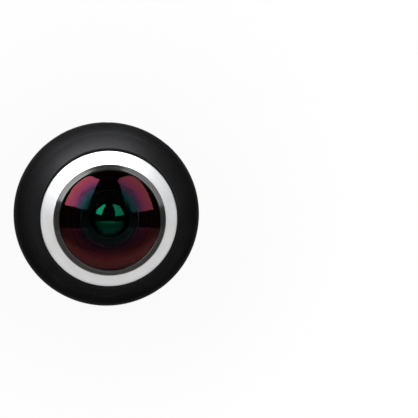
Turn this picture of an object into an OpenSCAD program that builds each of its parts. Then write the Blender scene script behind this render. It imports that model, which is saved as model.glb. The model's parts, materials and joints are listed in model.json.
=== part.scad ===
// Ball-shaped camera with one very wide fisheye lens, two press keys and a hinged door over its sockets.
// Millimetres, lens axis along +Z, base on the plane z = 0, key panel towards -Y, socket door towards +Y.

/* [Body] */
// Widest diameter of the ball-shaped body
body_d = 60; // [54:0.5:66]
// Radius of the flat base that the camera stands on
base_r = 8.2; // [7.6:0.1:9]
// Height that the flat base cuts off the bottom of the ball
base_sink = 4.28; // [3.8:0.02:4.8]
// Height of the lower shell's centre of curvature above the parting line
lower_rise = 1; // [0.4:0.1:1.4]
// Height of the upper shell's centre of curvature above the parting line
upper_rise = 2.2; // [1.8:0.1:2.8]
// Rounding of the outer edge of the rim
rim_round = 0.6; // [0.3:0.1:0.9]
// Flat land between the rounding and the lens ring
rim_land = 0.5; // [0.3:0.05:1]
// Wall thickness of both shells
wall = 2.2; // [2:0.05:2.5]
// Thickness of the base floor
base_t = 3.4; // [3:0.1:4]
// Height of the tongue that the lower shell puts into the upper shell
lip_h = 1.4; // [0.8:0.1:2]
// Width and depth of the visible groove at the parting line
seam_groove = 0.3; // [0.1:0.05:0.5]

/* [Lens] */
// Radius of the glass dome at the bezel, as a share of the body's radius
dome_share = 0.4833; // [0.454:0.0005:0.493]
// Radius of curvature of the glass dome
dome_curve_r = 25.2; // [22:0.1:30]
// Height of the dome's edge above the rim
dome_edge_rise = 5.5; // [5.1:0.1:6]
// Thickness of the dome on the axis
dome_t = 1.8; // [1.4:0.1:2.2]
// Radius of curvature of the hollow side of the dome
hollow_curve_r = 11; // [10.5:0.1:12]
// Height of the sloping lens ring above the rim
ring_h = 4.5; // [4:0.1:4.8]
// Width of the sloping lens ring
ring_w = 4.03; // [3.5:0.01:4.5]
// Width of the dark bezel round the dome
bezel_w = 1.55; // [1.3:0.05:1.8]
// Radius of the exposed face of the second lens
second_lens_r = 5.7; // [5:0.1:6.2]
// Radius of curvature of the second lens
second_curve_r = 10.5; // [9:0.1:14]
// Radius of the opening in the aperture stop
stop_r = 1.4; // [0.8:0.1:2.4]

/* [Control panel] */
// Length of the panel along the curve of the body
panel_len = 46; // [43:0.5:48]
// Height of the panel
panel_h = 17.5; // [16.8:0.1:18.5]
// Width of the groove round the panel
panel_gap = 0.3; // [0.15:0.05:0.5]
// Diameter of the two round keys
key_d = 10.8; // [9:0.1:11.4]
// Radial gap round a key
key_gap = 0.2; // [0.1:0.02:0.3]
// Travel of a key
key_travel = 0.5; // [0.2:0.05:0.6]
// Width of a light bar
bar_w = 1.7; // [1:0.1:2.2]
// Length of a light bar
bar_len = 4; // [3:0.1:4.6]
// Height of a light bar's centre above or below the parting line
bar_pitch = 3.5; // [3.3:0.1:3.8]
// Distance of a microphone hole from the middle
mic_pitch = 1.4; // [1:0.1:1.7]
// Diameter of a microphone hole
mic_d = 0.7; // [0.4:0.05:0.9]

/* [Socket door] */
// Width of the door opening
door_w = 18; // [16:0.5:20]
// Height of the door opening
door_h = 8.8; // [8.4:0.1:9.6]
// Corner radius of the door opening
door_round = 2.5; // [1:0.1:3.5]
// Gap round the door
door_gap = 0.3; // [0.2:0.05:0.4]
// Thickness of the door
door_t = 1.9; // [1.7:0.05:1.95]
// Diameter of the hinge pin
pin_d = 0.8; // [0.6:0.05:1]
// Length of the hinge barrel on the door
barrel_len = 6; // [4:0.5:6.5]

/* [Inside] */
// Length of the battery from side to side
battery_w = 28; // [24:0.5:29]
// Depth of the battery from front to back
battery_d = 26; // [22:0.5:26.5]
// Thickness of the battery
battery_h = 10; // [7:0.5:11]
// Distance of the main board's edge from the outside of the body
board_inset = 5; // [4.6:0.1:5.4]
// Thickness of the circuit boards
board_t = 1; // [0.8:0.1:1.2]
// Side of the square sensor board
sensor_board_w = 24; // [23:0.5:26]
// Depth of the tripod thread
thread_len = 5.3; // [4.5:0.1:5.5]

/* [Hidden] */
$fn = 96;
// Clearance between pieces that are assembled side by side
clear = 0.1;
// Clearance of the hinge pin in the door's barrel
pin_clear = 0.05;
// Clearance round a screw in its hole
screw_clear = 0.05;
// Length that a cutting prism runs on past the outside
past = 2;
// Outer radius of the standard quarter-inch tripod thread
thread_r = 3.175;

// Body levels
body_r = body_d / 2;
lower_z = body_r - base_sink;
base_blend_r = body_r - base_sink / 2 - pow(base_r, 2) / (2 * base_sink);
seam_z = lower_z - lower_rise;
upper_z = seam_z + upper_rise;
panel_z = seam_z + (lower_rise + upper_rise) / 2;
blend_a = atan2(lower_z - base_blend_r, base_r);
blend_r = 1.002 * base_blend_r;
base_flat_r = base_r + sqrt(pow(blend_r, 2) - pow(base_blend_r, 2));
lip_inset = wall / 2 + clear / 2;

// Lens radii
edge_gap = 0.15;
ring_edge = 0.08;
lip_edge = 0.2;
lip_cut = 0.12;
flange_w = 0.9;
dome_edge_r = dome_share * body_r;
bezel_in_r = dome_edge_r + edge_gap;
bezel_r = bezel_in_r + bezel_w;
skirt_in_r = min(dome_edge_r + flange_w + clear, bezel_r - 0.3);
glass_r = skirt_in_r - clear;
ring_in_r = bezel_r + clear;
ring_r = ring_in_r + ring_w;
ring_seat_r = ring_r + clear / 2;
round_x = ring_seat_r + rim_land;
cup_in_r = bezel_r + clear / 2;
cup_wall = 1;
cup_r = cup_in_r + cup_wall;
ring_low_r = cup_r + edge_gap;
opening_r = ring_low_r + clear / 2;
mount_w = 2.6;
mount_r = opening_r + mount_w;

// Lens levels
rim_z = upper_z + rim_round + sqrt(pow(body_r - rim_round, 2) - pow(round_x, 2));
ring_top = rim_z + ring_h;
deck_drop = 1.5;
deck_t = 2;
deck_z = rim_z - deck_drop;
deck_z0 = deck_z - deck_t;
mount_t = 1.5;
dome_edge_z = rim_z + dome_edge_rise;
dome_rise = dome_curve_r - sqrt(pow(dome_curve_r, 2) - pow(dome_edge_r, 2));
apex_z = dome_edge_z + dome_rise;
flange_lift = 0.3;
flange_t = 1.6;
flange_z0 = rim_z + flange_lift;
seal_t = 0.5;
seal_w = 3.4;
seal_in_r = glass_r - seal_w;
cup_z = flange_z0 - seal_t;
cup_top = flange_z0 + flange_t - 0.2;
cup_floor_t = 1.5;
mouth_ledge = 1.3;
mouth_r = seal_in_r - mouth_ledge;
mouth_h = 2.6;

// Inner lenses, from the second lens down to the sensor
second_drop = 0.393 * dome_edge_r;
second_z = rim_z - second_drop;
second_flange_r = 8.2;
second_flange_t = 1.4;
second_step = 0.3;
second_dome_z = second_z + second_flange_t + second_step;
second_rise = second_curve_r - sqrt(pow(second_curve_r, 2) - pow(second_lens_r, 2));
second_hollow_r = 6;
retainer_h = 1.6;
retainer_lip = 0.6;
retainer_land = 0.5;
stack_r = 5.2;
eye_r = 4.2;
third_t = 0.2345 * dome_edge_r;
third_curve_r = 9;
third_z = second_z - third_t;
stop_t = 0.4;
stop_z = third_z - stop_t;
rear_t = 0.207 * dome_edge_r;
rear_curve_r = 8;
rear_eye_r = 3.9;
rear_z = stop_z - rear_t;
tube_r = 10.5;
tube_tail = 0.124 * dome_edge_r;
tube_bore_r = 4;
tube_z0 = rear_z - tube_tail;
neck_h = 1.5;
holder_h = 0.248 * dome_edge_r;
holder_grip = 4;
holder_r = 12.5;
holder_eye_r = 4.6;
holder_room_r = 8.5;
holder_z0 = tube_z0 - holder_h;
filter_r = 6;
filter_t = 0.5;
filter_z = tube_z0 - filter_t - clear;
sensor_w = 9;
sensor_d = 7.6;
sensor_t = 1.4;
sensor_screw_ring = 10.6;

// Key panel
key_az = (panel_len - panel_h) / 2 / body_r * 180 / PI;
key_r = key_d / 2;
flange_in = wall + clear / 2;
flange_reach = 1.2;
panel_back = wall + 1.2;
lip_rho = body_r - 2.4;
key_flange_t = 0.85;
key_flange_r = key_r + 0.85;
key_stem_r = 1.6;
well_r = key_flange_r + clear;
well_wall = 0.8;
well_rho = body_r - 7.5;
plate_rho = well_rho - 0.8;
switch_w = 5.2;
switch_h = 1.7;
plunger_r = 1.2;
plunger_h = 1.6;
plunger_rho = well_rho + switch_h + 0.3 + key_travel;
strip_in = 6.4;
strip_y = body_r - strip_in;
strip_t = 0.8;
strip_w = 6.4;
strip_h = 17;
strip_screw_r = 0.5;
strip_head_r = 0.95;
strip_head_h = 0.6;
strip_bite = 2.2;
boss_r = 1.1;
boss_pitch = 7.2;
boss_y = body_r - 2.8;
pipe_flange = 0.4;
pipe_flange_t = 1.1;
led_w = 1.6;
led_h = 1.2;
led_t = 0.7;
mic_w = 4;
mic_h = 2.2;
mic_t = 1;
mic_seal_w = 4.4;
mic_seal_t = 1.8;
mic_seal_h = 2;

// Inside levels
board_r = body_r - board_inset;
board_z = seam_z - 0.6;
board_z0 = board_z - board_t;
post_r = 2.4;
post_h = 16.5;
post_ring_r = board_r - post_r - 0.3;
post_az = 25;
web_t = 1.4;
ear_r = 3.2;
ear_t = 2.4;
floor_gap = 3.4;
floor_t = 1.4;
floor_z0 = base_t + floor_gap;
battery_z0 = floor_z0 + floor_t;
fence_h = 3.4;
fence_t = 1.2;
fence_gap = 0.1;
fence_short = 8;
strut_in = wall + 0.6;
strut_t = 2;
strut_w = 5;
foot_r = 1.7;
screw_r = 1;
screw_head_r = 1.9;
screw_head_h = 1.2;
screw_bite = 4.5;
small_screw_r = 0.8;
small_head_r = 1.5;
small_head_h = 0.8;
small_bite = 2.6;
deck_bite = 1.4;
deck_head_r = 1.2;
screw_end = 0.4;
nut_r = 4;
nut_flange_r = 4.8;
nut_flange_t = 1.5;
nut_lift = 0.3;
nut_end = 0.9;
pad_t = 0.8;
pad_r = base_flat_r - 0.7;
pad_in_r = nut_r + 0.3;
base_screw_ring = (pad_r + nut_flange_r) / 2 + clear / 2;
base_bore_t = 1.1;
front_cut = plate_rho * cos(key_az) - (well_r + well_wall) * sin(key_az) - 1.5;
link_w = 9;
link_d = 2.4;
link_h = 0.7;
link_y = 8.2;
flex_w = 7;
flex_t = 0.25;
flex_y = 13;
lead_r = 0.5;
lead_pitch = 2;
lead_inset = 3;
buzzer_r = 4.2;
buzzer_h = 2.4;

// Socket door
door_depth = 8;
door_foot = 0.2;
door_margin = 2;
door_z0 = seam_z - door_h / 2;
door_band_h = door_h + 2 * door_margin;
hinge_drop = 0.9;
hinge_in = 0.95;
hinge_z = door_z0 - hinge_drop;
hinge_y = sqrt(pow(body_r, 2) - pow(panel_z - hinge_z, 2)) - hinge_in;
pin_r = pin_d / 2;
pin_grip = 1.2;
knuckle_r = 0.9;
neck_lap = 0.6;
relief_r = 1.65;
scoop_r = 3;
scoop_out = 1.6;
scoop_lift = 1;
socket_wall = 0.35;
usb_w = 7.6;
usb_h = 2.7;
usb_d = 5.6;
usb_in = 4;
tongue_w = 5;
tongue_h = 0.6;
card_w = 13;
card_h = 1.6;
card_d = 14;
card_in = 4.8;

// Chips on the main board: place in x and y, width, depth and height
CHIPS = [
    [-8, -4.8, 12, 12, 1],
    [7.5, -5.4, 9, 10.8, 1],
    [-9, 12, 6, 6, 1]
];
wifi_w = 9;
wifi_d = 8;
wifi_h = 1.5;
wifi_x = 9.8;
wifi_y = 11.7;
buzzer_x = 17.5;

// Corner beyond a rounding of radius r centred on c, between the directions a0 and a1
module round_corner(c, r, a0, a1) {
    am = (a0 + a1) / 2;
    translate(c)
        difference() {
            polygon([
                [0, 0],
                2 * r * [cos(a0), sin(a0)],
                4 * r * [cos(am), sin(am)],
                2 * r * [cos(a1), sin(a1)]
            ]);
            circle(r);
        }
}

// Half section of the lower shell's form up to height z1, pulled in by inset
module lower_form(inset, z1) {
    difference() {
        intersection() {
            translate([0, lower_z])
                circle(body_r - inset);
            band(inset, z1);
        }
        round_corner([base_r, base_blend_r], blend_r - inset, -90, -blend_a);
    }
}

// Half section of the upper shell's form between two heights, pulled in by inset
module upper_form(inset, z0, z1) {
    intersection() {
        translate([0, upper_z])
            circle(body_r - inset);
        band(z0, z1);
    }
}

// Ball that the panel, the keys and the door share, pulled in by inset
module panel_ball(inset) {
    translate([0, 0, panel_z])
        sphere(r = body_r - inset);
}

// Skin of that ball between two insets, within reach above and below the parting line
module panel_skin(in0, in1, reach) {
    rotate_extrude()
        intersection() {
            translate([0, panel_z])
                difference() {
                    circle(body_r - in0);
                    circle(body_r - in1);
                }
            band(seam_z - reach, seam_z + reach);
        }
}

// Band of the half section between two heights
module band(z0, z1) {
    polygon([[0, z0], [2 * body_r, z0], [2 * body_r, z1], [0, z1]]);
}

// Rectangle in a half section between two radii and two heights
module block(r0, r1, z0, z1) {
    translate([r0, z0])
        square([r1 - r0, z1 - z0]);
}

// Places children on the axis of a key, local +Z pointing out of the body
module at_key(side) {
    rotate([0, 0, side * key_az])
        translate([0, 0, seam_z])
            rotate([90, 0, 0])
                children();
}

// Cylinder on the axis of a key between two distances from the lens axis
module key_cylinder(side, r, rho0, rho1) {
    at_key(side)
        translate([0, 0, rho0])
            cylinder(r = r, h = rho1 - rho0);
}

// Pushes a front outline into the body between two distances in front of the lens axis
module front_prism(y0, y1) {
    translate([0, -y0, seam_z])
        rotate([90, 0, 0])
            linear_extrude(y1 - y0)
                children();
}

// Pushes a rear outline out of the body between two distances behind the lens axis
module rear_prism(y0, y1) {
    translate([0, y1, 0])
        rotate([90, 0, 0])
            linear_extrude(y1 - y0)
                children();
}

// Wedge with the panel's round ends, grown by grow on every side
module panel_prism(grow) {
    half = panel_h / 2 + grow;
    reach = 2 * body_r;
    for (side = [-1, 1])
        key_cylinder(side, half, body_r / 2, body_r + half);
    translate([0, 0, seam_z - half])
        linear_extrude(2 * half)
            polygon([
                [0, 0],
                reach * [-sin(key_az), -cos(key_az)],
                reach * [sin(key_az), -cos(key_az)]
            ]);
}

// Rounded upright outline of a light bar
module bar_outline(grow) {
    r = bar_w / 2 + grow;
    straight = bar_len - bar_w;
    for (side = [-1, 1])
        translate([0, side * bar_pitch]) {
            translate([-r, -straight / 2])
                square([2 * r, straight]);
            translate([0, -straight / 2])
                circle(r);
            translate([0, straight / 2])
                circle(r);
        }
}

// Rounded outline of the door opening, grown by grow
module door_outline(grow, foot = 0) {
    w = door_w / 2 + grow;
    z0 = door_z0 - grow + foot;
    z1 = door_z0 + door_h + grow;
    r = door_round + grow;
    translate([-w, z0 + r])
        square([2 * w, z1 - z0 - 2 * r]);
    translate([-w + r, z0])
        square([2 * w - 2 * r, z1 - z0]);
    for (x = [-w + r, w - r])
        for (z = [z0 + r, z1 - r])
            translate([x, z])
                circle(r);
}

// Cylinder along the hinge axis
module hinge_cylinder(r, half_len) {
    translate([-half_len, hinge_y, hinge_z])
        rotate([0, 90, 0])
            cylinder(r = r, h = 2 * half_len);
}

// Places children at the four posts between the upper shell and the inner frame
module at_posts() {
    for (az = [post_az, 180 - post_az, 180 + post_az, -post_az])
        rotate([0, 0, az])
            translate([post_ring_r, 0, 0])
                children();
}

// Places children at the three screws in the base
module at_base_screws() {
    for (az = [90, 210, 330])
        rotate([0, 0, az])
            translate([base_screw_ring, 0, 0])
                children();
}

// Places children at the three screws under the sensor board
module at_sensor_screws() {
    for (az = [30, 150, 270])
        rotate([0, 0, az])
            translate([sensor_screw_ring, 0, 0])
                children();
}

// Places children at the four screws that hold the lens barrel
module at_barrel_screws() {
    for (az = [45, 135, 225, 315])
        rotate([0, 0, az])
            translate([(cup_r + mount_r) / 2 + 0.2, 0, 0])
                children();
}

// Screw with a round head below and its shank upwards from z
module screw_up(z, r, len, head_r, head_h) {
    translate([0, 0, z])
        cylinder(r = r, h = len);
    translate([0, 0, z - head_h])
        cylinder(r = head_r, h = head_h);
}

// Hole from z0 to z1
module hole(r, z0, z1) {
    translate([0, 0, z0])
        cylinder(r = r, h = z1 - z0);
}

// Box centred in x and y
module box(x, y, w, d, z0, h) {
    translate([x - w / 2, y - d / 2, z0])
        cube([w, d, h]);
}

// Radius of the upper shell's form at a height, pulled in by inset
function side_x(z, inset) = sqrt(pow(body_r - inset, 2) - pow(z - upper_z, 2));

// Upright rib from a post to the middle of the shell's wall
module post_web() {
    z0 = seam_z + lip_h + 1;
    z1 = board_z + post_h - clear;
    translate([0, web_t / 2, 0])
        rotate([90, 0, 0])
            linear_extrude(web_t)
                polygon(concat(
                    [[0, z1], [0, z0]],
                    [for (i = [0:4]) let (z = z0 + (z1 - z0) * i / 4) [side_x(z, wall / 2) - post_ring_r, z]]
                ));
}

module upper_shell() {
    color("#1c1c1d")
        difference() {
            union() {
                rotate_extrude()
                    difference() {
                        upper_form(0, seam_z, rim_z);
                        round_corner(
                            [round_x, rim_z - rim_round],
                            1.03 * rim_round,
                            atan2(rim_z - rim_round - upper_z, round_x),
                            90
                        );
                        upper_form(wall, seam_z - 1, deck_z0);
                        lower_form(lip_inset - clear / 2, seam_z + lip_h + clear);
                        block(0, ring_seat_r, deck_z, rim_z + 1);
                        block(0, opening_r, seam_z, rim_z + 1);
                    }
                at_posts()
                    hole(post_r, board_z, board_z + post_h);
                at_posts()
                    post_web();
            }
            panel_prism(0);
            rear_prism(body_r - door_depth, body_r + past)
                door_outline(0);
            at_posts()
                hole(screw_r + screw_clear, board_z - 1, board_z + screw_bite + screw_end);
            at_barrel_screws()
                hole(small_screw_r + screw_clear, deck_z0 - 1, deck_z0 + deck_bite + screw_end / 2);
            translate([0, body_r + scoop_out, door_z0 + door_h + scoop_lift])
                sphere(r = scoop_r);
        }
}

module lower_shell() {
    color("#1c1c1d")
        difference() {
            rotate_extrude()
                difference() {
                    lower_form(0, seam_z + lip_h);
                    intersection() {
                        lower_form(wall, seam_z + lip_h + 1);
                        band(base_t, seam_z + lip_h + 1);
                    }
                    difference() {
                        band(seam_z, seam_z + lip_h + 1);
                        lower_form(lip_inset, seam_z + lip_h + 2);
                    }
                    difference() {
                        band(seam_z - seam_groove, seam_z + 0.1);
                        lower_form(seam_groove, seam_z + 1);
                    }
                    block(0, pad_r + clear / 2, -1, pad_t);
                    block(0, nut_r + clear / 2, -1, base_t + 1);
                }
            panel_prism(0);
            rear_prism(body_r - door_depth, body_r + past)
                door_outline(0);
            hinge_cylinder(relief_r, barrel_len / 2 + door_gap);
            translate([-barrel_len / 2 - door_gap, hinge_y - relief_r, hinge_z])
                cube([barrel_len + 2 * door_gap, door_depth, hinge_drop + 1]);
            hinge_cylinder(pin_r + 0.02, barrel_len / 2 + door_gap + pin_grip + clear);
            at_base_screws() {
                hole(small_screw_r + screw_clear, pad_t - 0.5, base_t + 1);
                hole(small_head_r + clear, pad_t - 0.5, pad_t + base_bore_t);
            }
        }
}

module lens_ring() {
    color("#d9dbdd")
        rotate_extrude()
            polygon([
                [ring_low_r, deck_z],
                [ring_r, deck_z],
                [ring_r, rim_z + edge_gap],
                [ring_in_r + ring_edge, ring_top],
                [ring_in_r, ring_top - ring_edge],
                [ring_in_r, cup_top + clear],
                [ring_low_r, cup_top + clear]
            ]);
}

module lens_bezel() {
    color("#4a4c50")
        rotate_extrude()
            polygon([
                [skirt_in_r, cup_z + 0.3],
                [bezel_r, cup_z + 0.3],
                [bezel_r, ring_top - edge_gap],
                [bezel_in_r + lip_edge, dome_edge_z - lip_cut],
                [bezel_in_r, dome_edge_z - 2 * lip_cut],
                [bezel_in_r, flange_z0 + flange_t],
                [skirt_in_r, flange_z0 + flange_t]
            ]);
}

module front_lens() {
    color("#3c4a52")
        rotate_extrude()
            difference() {
                union() {
                    intersection() {
                        translate([0, apex_z - dome_curve_r])
                            circle(dome_curve_r);
                        block(0, dome_edge_r, flange_z0, apex_z + 1);
                    }
                    block(0, glass_r, flange_z0, flange_z0 + flange_t);
                }
                translate([0, apex_z - dome_t - hollow_curve_r])
                    circle(hollow_curve_r);
            }
}

module lens_seal() {
    color("#2a2a2a")
        rotate_extrude()
            block(seal_in_r, glass_r - clear, cup_z, flange_z0);
}

module lens_barrel() {
    color("#232427")
        difference() {
            rotate_extrude()
                difference() {
                    polygon([
                        [0, tube_z0],
                        [tube_r, tube_z0],
                        [tube_r, deck_z0 - mount_t - neck_h],
                        [tube_r + neck_h, deck_z0 - mount_t],
                        [mount_r, deck_z0 - mount_t],
                        [mount_r, deck_z0],
                        [cup_r, deck_z0],
                        [cup_r, cup_top],
                        [0, cup_top]
                    ]);
                    block(0, cup_in_r, cup_z, cup_top + 1);
                    polygon([
                        [0, cup_z + seal_t],
                        [mouth_r, cup_z + seal_t],
                        [second_flange_r + clear, cup_z + seal_t - mouth_h],
                        [0, cup_z + seal_t - mouth_h]
                    ]);
                    block(0, second_flange_r + clear, second_z, cup_z + seal_t - mouth_h + clear);
                    block(0, stack_r + clear / 2, rear_z, second_z + 1);
                    block(0, tube_bore_r, tube_z0 - 1, rear_z + 1);
                    block(tube_r + 2, cup_in_r - clear, deck_z0 - mount_t - 1, cup_z - cup_floor_t);
                }
            at_barrel_screws()
                hole(small_screw_r + screw_clear, deck_z0 - mount_t - 1, deck_z0 + 0.5);
        }
}

module inner_retainer() {
    color("#34363a")
        rotate_extrude()
            polygon([
                [second_lens_r + edge_gap, second_z + second_flange_t],
                [second_flange_r + clear / 2, second_z + second_flange_t],
                [second_flange_r + clear / 2, second_z + second_flange_t + retainer_h],
                [second_flange_r - retainer_land, second_z + second_flange_t + retainer_h],
                [second_lens_r + edge_gap, second_z + second_flange_t + retainer_lip]
            ]);
}

module second_lens() {
    color("#46605a")
        rotate_extrude()
            difference() {
                union() {
                    block(0, second_flange_r, second_z, second_z + second_flange_t);
                    block(0, second_lens_r, second_z, second_dome_z);
                    intersection() {
                        translate([0, second_dome_z + second_rise - second_curve_r])
                            circle(second_curve_r);
                        block(0, second_lens_r, second_z, second_dome_z + second_curve_r);
                    }
                }
                translate([0, second_z - sqrt(pow(second_hollow_r, 2) - pow(eye_r, 2))])
                    circle(second_hollow_r);
            }
}

module third_lens() {
    color("#5a6a6c")
        rotate_extrude() {
            block(0, stack_r, third_z, second_z);
            intersection() {
                translate([0, second_z - sqrt(pow(third_curve_r, 2) - pow(eye_r, 2))])
                    circle(third_curve_r);
                block(0, eye_r, third_z, second_z + 3);
            }
        }
}

module aperture_stop() {
    color("#151515")
        rotate_extrude()
            block(stop_r, stack_r, stop_z, third_z);
}

module rear_lens() {
    color("#5a6a6c")
        rotate_extrude() {
            block(0, stack_r, rear_z, stop_z);
            intersection() {
                translate([0, rear_z + sqrt(pow(rear_curve_r, 2) - pow(rear_eye_r, 2))])
                    circle(rear_curve_r);
                block(0, rear_eye_r, rear_z - 3, stop_z);
            }
        }
}

module lens_holder() {
    color("#202224")
        difference() {
            rotate_extrude()
                difference() {
                    block(0, holder_r, holder_z0, tube_z0 + holder_grip);
                    block(0, tube_r + clear / 2, tube_z0, tube_z0 + holder_grip + 1);
                    block(0, filter_r + clear, filter_z, tube_z0 + 1);
                    block(0, holder_eye_r, holder_z0 - 1, tube_z0);
                    block(0, holder_room_r, holder_z0 - 1, (holder_z0 + sensor_t + filter_z) / 2);
                }
            at_sensor_screws()
                hole(small_screw_r + screw_clear, holder_z0 - 1, holder_z0 + small_bite + screw_end);
        }
}

module ir_filter() {
    color("#7fb6c0")
        hole(filter_r, filter_z, filter_z + filter_t);
}

module image_sensor() {
    color("#3a3550")
        box(0, 0, sensor_w, sensor_d, holder_z0, sensor_t);
}

module sensor_board() {
    color("#1f6b3a")
        difference() {
            box(0, 0, sensor_board_w, sensor_board_w, holder_z0 - board_t, board_t);
            at_sensor_screws()
                hole(small_screw_r + screw_clear, holder_z0 - board_t - 1, holder_z0 + 1);
        }
}

module sensor_screws() {
    color("#b9bcc0")
        at_sensor_screws()
            screw_up(holder_z0 - board_t, small_screw_r, board_t + small_bite, small_head_r, small_head_h);
}

module barrel_screws() {
    color("#b9bcc0")
        at_barrel_screws()
            screw_up(deck_z0 - mount_t, small_screw_r, mount_t + deck_bite, deck_head_r, small_head_h);
}

// Curved plate of the panel with the flange that lies behind the shells' walls
module panel_plate() {
    difference() {
        intersection() {
            panel_skin(0, panel_back, panel_h);
            panel_prism(flange_reach);
        }
        difference() {
            panel_skin(-1, flange_in, panel_h + 2);
            panel_prism(-panel_gap);
        }
    }
}

module control_panel() {
    color("#171718")
        difference() {
            union() {
                panel_plate();
                for (side = [-1, 1])
                    key_cylinder(side, well_r + well_wall, well_rho, boss_y);
                at_bosses(strip_y)
                    cylinder(r = boss_r, h = boss_y - strip_y);
            }
            for (side = [-1, 1]) {
                key_cylinder(side, well_r, well_rho - 1, lip_rho);
                key_cylinder(side, key_r + key_gap, lip_rho - 1, body_r + past);
            }
            front_prism(strip_y, body_r + past)
                bar_outline(clear / 2);
            mic_holes();
            at_bosses(strip_y - 1)
                cylinder(r = strip_screw_r + screw_clear, h = 1 + strip_bite + screw_end);
        }
}

// Places children on the two bosses behind the light bars, local +Z pointing out of the body
module at_bosses(y) {
    for (side = [-1, 1])
        translate([0, -y, seam_z + side * boss_pitch])
            rotate([90, 0, 0])
                children();
}

// Holes that lead from the panel's face to the microphone
module mic_holes() {
    for (x = [-mic_pitch, mic_pitch])
        translate([x, -strip_y, seam_z])
            rotate([90, 0, 0])
                cylinder(r = mic_d / 2, h = body_r - strip_y + 2);
}

// One key: a cap with a curved face, a flange behind the panel's lip and a short stem
module key(side) {
    intersection() {
        panel_ball(0);
        key_cylinder(side, key_r, lip_rho - 1, body_r + past);
    }
    key_cylinder(side, key_flange_r, lip_rho - clear / 2 - key_flange_t, lip_rho - clear / 2);
    key_cylinder(side, key_stem_r, plunger_rho, lip_rho - key_flange_t / 2);
}

module power_button() {
    color("#161617")
        key(-1);
}

module mode_button() {
    color("#161617")
        key(1);
}

// Plunger of a push switch, in line with its key
module plunger(side) {
    key_cylinder(side, plunger_r, plunger_rho - plunger_h, plunger_rho);
}

module power_plunger() {
    color("#8d2f2a")
        plunger(-1);
}

module mode_plunger() {
    color("#8d2f2a")
        plunger(1);
}

// Housing of a push switch with the bore its plunger runs in
module switch_housing(side) {
    difference() {
        at_key(side)
            translate([-switch_w / 2, -switch_w / 2, well_rho])
                cube([switch_w, switch_w, switch_h]);
        key_cylinder(side, plunger_r + 0.06, well_rho + 0.25, well_rho + 2 * switch_h);
    }
}

module power_switch() {
    color("#2c2c30")
        switch_housing(-1);
}

module mode_switch() {
    color("#2c2c30")
        switch_housing(1);
}

module switch_boards() {
    color("#1f6b3a")
        for (side = [-1, 1])
            key_cylinder(side, well_r + well_wall, plate_rho, well_rho);
}

module light_pipes() {
    color("#a9abad") {
        intersection() {
            panel_ball(0.05);
            front_prism(strip_y + led_t + clear, body_r + past)
                bar_outline(0);
        }
        front_prism(strip_y + led_t + clear, strip_y + led_t + pipe_flange_t)
            bar_outline(pipe_flange);
    }
}

module indicator_leds() {
    color("#e8e6d0")
        for (side = [-1, 1])
            translate([-led_w / 2, -strip_y - led_t, seam_z + side * bar_pitch - led_h / 2])
                cube([led_w, led_t, led_h]);
}

module indicator_board() {
    color("#1f6b3a")
        difference() {
            translate([-strip_w / 2, -strip_y, seam_z - strip_h / 2])
                cube([strip_w, strip_t, strip_h]);
            at_bosses(strip_y - 2 * strip_t)
                cylinder(r = strip_screw_r + screw_clear, h = 4 * strip_t);
        }
}

module indicator_screws() {
    color("#b9bcc0")
        at_bosses(strip_y - strip_t)
            screw_up(0, strip_screw_r, strip_t + strip_bite, strip_head_r, strip_head_h);
}

module microphone() {
    color("#c9b57a")
        translate([-mic_w / 2, -strip_y - mic_t, seam_z - mic_h / 2])
            cube([mic_w, mic_t, mic_h]);
}

module mic_seal() {
    color("#333333")
        difference() {
            translate([-mic_seal_w / 2, -strip_y - mic_t - mic_seal_t, seam_z - mic_seal_h / 2])
                cube([mic_seal_w, mic_seal_t, mic_seal_h]);
            mic_holes();
        }
}

module inner_frame() {
    color("#55585c")
        difference() {
            union() {
                rotate_extrude()
                    intersection() {
                        lower_form(strut_in, seam_z);
                        band(floor_z0, floor_z0 + floor_t);
                    }
                for (side = [-1, 1]) {
                    box(
                        side * (battery_w / 2 + fence_gap + fence_t / 2), 0,
                        fence_t, battery_d - fence_short, floor_z0 + 0.5, fence_h + 0.5
                    );
                    box(
                        0, side * (battery_d / 2 + fence_gap + fence_t / 2),
                        battery_w - fence_short, fence_t, floor_z0 + 0.5, fence_h + 0.5
                    );
                }
                intersection() {
                    rotate_extrude()
                        difference() {
                            lower_form(strut_in, board_z0 - ear_t / 2);
                            lower_form(strut_in + strut_t, board_z0);
                            band(0, floor_z0);
                        }
                    for (az = [post_az, 180 - post_az, 180 + post_az, -post_az])
                        rotate([0, 0, az])
                            translate([base_r, -strut_w / 2, floor_z0 - 1])
                                cube([body_r, strut_w, board_z0]);
                }
                at_posts()
                    hole(ear_r, board_z0 - ear_t, board_z0);
                at_base_screws()
                    hole(foot_r, base_t, floor_z0 + 0.5);
            }
            at_posts()
                hole(screw_r + screw_clear, board_z0 - ear_t - 1, board_z0 + 1);
            at_base_screws()
                hole(small_screw_r + screw_clear, base_t - 1, floor_z0);
        }
}

module battery() {
    color("#9fa4aa")
        box(0, 0, battery_w, battery_d, battery_z0, battery_h);
}

module battery_leads() {
    color("#a02020")
        for (x = [-lead_pitch, lead_pitch])
            translate([x, lead_inset - battery_d / 2, 0])
                hole(lead_r, battery_z0 + battery_h, board_z0);
}

module main_board() {
    color("#1f6b3a")
        difference() {
            intersection() {
                hole(board_r, board_z0, board_z);
                box(0, body_r - front_cut, 3 * body_r, 2 * body_r, board_z0 - 1, board_t + 2);
            }
            at_posts()
                hole(screw_r + screw_clear, board_z0 - 1, board_z + 1);
        }
}

module board_chips() {
    color("#26262a") {
        for (chip = CHIPS)
            box(chip[0], chip[1], chip[2], chip[3], board_z, chip[4]);
        box(0, link_y, link_w, link_d, board_z, link_h);
        box(0, link_y, link_w, link_d, holder_z0 - board_t - link_h, link_h);
    }
}

module wifi_module() {
    color("#c4c7ca")
        box(wifi_x, wifi_y, wifi_w, wifi_d, board_z, wifi_h);
}

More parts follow.
